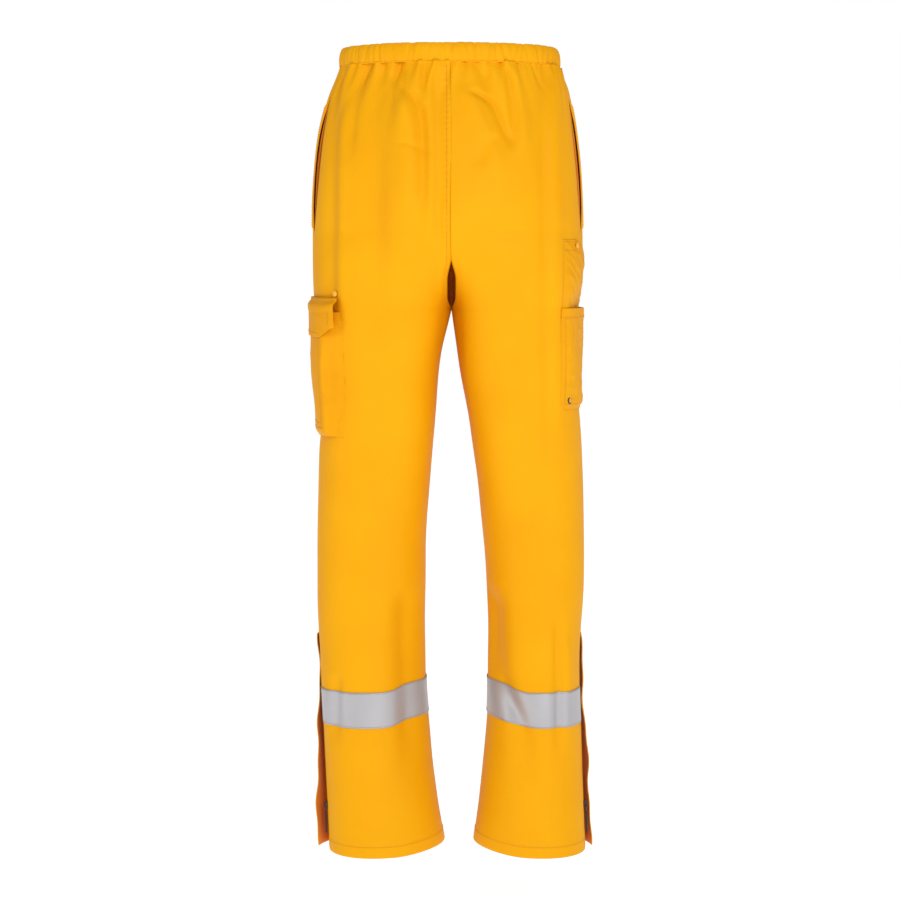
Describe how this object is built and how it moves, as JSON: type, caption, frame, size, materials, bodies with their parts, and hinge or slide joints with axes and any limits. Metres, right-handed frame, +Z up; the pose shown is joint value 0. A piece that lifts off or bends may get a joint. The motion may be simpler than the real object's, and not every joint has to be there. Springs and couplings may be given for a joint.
{
  "type": "bunker pants",
  "caption": "Waterproof high-visibility over-trousers with an elastic waist, thigh pockets, reflective ankle tape and zipped ankle openings under storm flaps.",
  "frame": {"origin": "the middle of the waist opening, level with the top edge of the waistband", "axes": "+Z up towards the waist, +Y out of the wearer's front, +X towards the wearer's right leg; the seat and the backs of the knees are on the -Y side"},
  "size_m": [0.4019, 0.2924, 1.126],
  "materials": {
    "shell": "matt waterproof polyurethane coating on knitted polyester",
    "lining": "uncoated inner face of the shell cloth",
    "reflective": "retroreflective glass-bead tape",
    "zip_tape": "woven polyester tape",
    "zip_teeth": "moulded coil",
    "zip_slider": "black-lacquered die-cast zinc",
    "zip_pull": "satin moulded plastic",
    "elastic": "woven elastic webbing",
    "rivet": "painted to match the shell",
    "eyelet": "black-lacquered brass"
  },
  "bodies": {
    "trousers": {"waistband_casing": "shell", "waist_elastic": "elastic", "left_back_panel": "shell", "left_front_panel": "shell", "left_seat_seam_tape": "lining", "left_hand_pocket_bag": "lining", "left_hand_pocket_welt": "shell", "left_knee_back": "shell", "right_back_panel": "shell", "right_front_panel": "shell", "right_seat_seam_tape": "lining", "right_hand_pocket_bag": "lining", "right_hand_pocket_welt": "shell", "right_knee_back": "shell", "cargo_pocket_front": "shell", "cargo_pocket_gusset": "shell", "cargo_flap_rivet": "rivet", "tool_pocket_upper": "shell", "tool_pocket_lower": "shell", "tool_pocket_mouth_band": "shell", "tool_pocket_rivet": "rivet", "tool_pocket_eyelet": "eyelet"},
    "left_lower_leg": {"left_lower_back_panel": "shell", "left_lower_front_panel": "shell", "left_reflective_tape": "reflective", "left_hem_facing": "shell", "left_zip_tape_back": "zip_tape", "left_zip_tape_front": "zip_tape", "left_zip_teeth_back": "zip_teeth", "left_zip_teeth_front": "zip_teeth"},
    "left_storm_flap": {"left_storm_flap": "shell"},
    "left_zip_slider": {"left_zip_slider": "zip_slider"},
    "left_zip_pull": {"left_zip_pull": "zip_pull"},
    "right_lower_leg": {"right_lower_back_panel": "shell", "right_lower_front_panel": "shell", "right_reflective_tape": "reflective", "right_hem_facing": "shell", "right_zip_tape_back": "zip_tape", "right_zip_tape_front": "zip_tape", "right_zip_teeth_back": "zip_teeth", "right_zip_teeth_front": "zip_teeth"},
    "right_storm_flap": {"right_storm_flap": "shell"},
    "right_zip_slider": {"right_zip_slider": "zip_slider"},
    "right_zip_pull": {"right_zip_pull": "zip_pull"},
    "cargo_flap": {"cargo_flap": "shell"}
  },
  "joints": [
    {"name": "left_knee", "type": "hinge", "parent": "trousers", "child": "left_lower_leg", "pos_m": [0, 0.008, -0.639], "axis": [-1, 0, 0], "range_deg": [0, 65], "deforming": ["left_knee_back"]},
    {"name": "left_storm_flap_hinge", "type": "hinge", "parent": "left_lower_leg", "child": "left_storm_flap", "pos_m": [-0.17242, 0.00827, -1.124], "axis": [0.0443, -0.038, -0.9983], "range_deg": [0, 120]},
    {"name": "left_zip", "type": "slide", "parent": "left_lower_leg", "child": "left_zip_slider", "axis": [-0.0451, 0.0371, 0.9983], "range_m": [0, 0.19]},
    {"name": "left_zip_pull_swing", "type": "hinge", "parent": "left_zip_slider", "child": "left_zip_pull", "pos_m": [-0.17909, -0.02865, -1.06438], "axis": [-0.1014, 0.994, -0.0415], "range_deg": [0, 80]},
    {"name": "right_knee", "type": "hinge", "parent": "trousers", "child": "right_lower_leg", "pos_m": [0, 0.008, -0.639], "axis": [-1, 0, 0], "range_deg": [0, 65], "deforming": ["right_knee_back"]},
    {"name": "right_storm_flap_hinge", "type": "hinge", "parent": "right_lower_leg", "child": "right_storm_flap", "pos_m": [0.18925, 0.00921, -1.124], "axis": [-0.0259, 0.0443, 0.9987], "range_deg": [0, 120]},
    {"name": "right_zip", "type": "slide", "parent": "right_lower_leg", "child": "right_zip_slider", "axis": [-0.0327, 0.0437, 0.9985], "range_m": [0, 0.19]},
    {"name": "right_zip_pull_swing", "type": "hinge", "parent": "right_zip_slider", "child": "right_zip_pull", "pos_m": [0.19132, -0.02756, -1.06414], "axis": [-0.0951, -0.9947, 0.0404], "range_deg": [0, 80]},
    {"name": "cargo_flap_hinge", "type": "hinge", "parent": "trousers", "child": "cargo_flap", "pos_m": [-0.203, 0, -0.3445], "axis": [-0.1619, 0.9868, 0], "range_deg": [0, 100]}
  ]
}
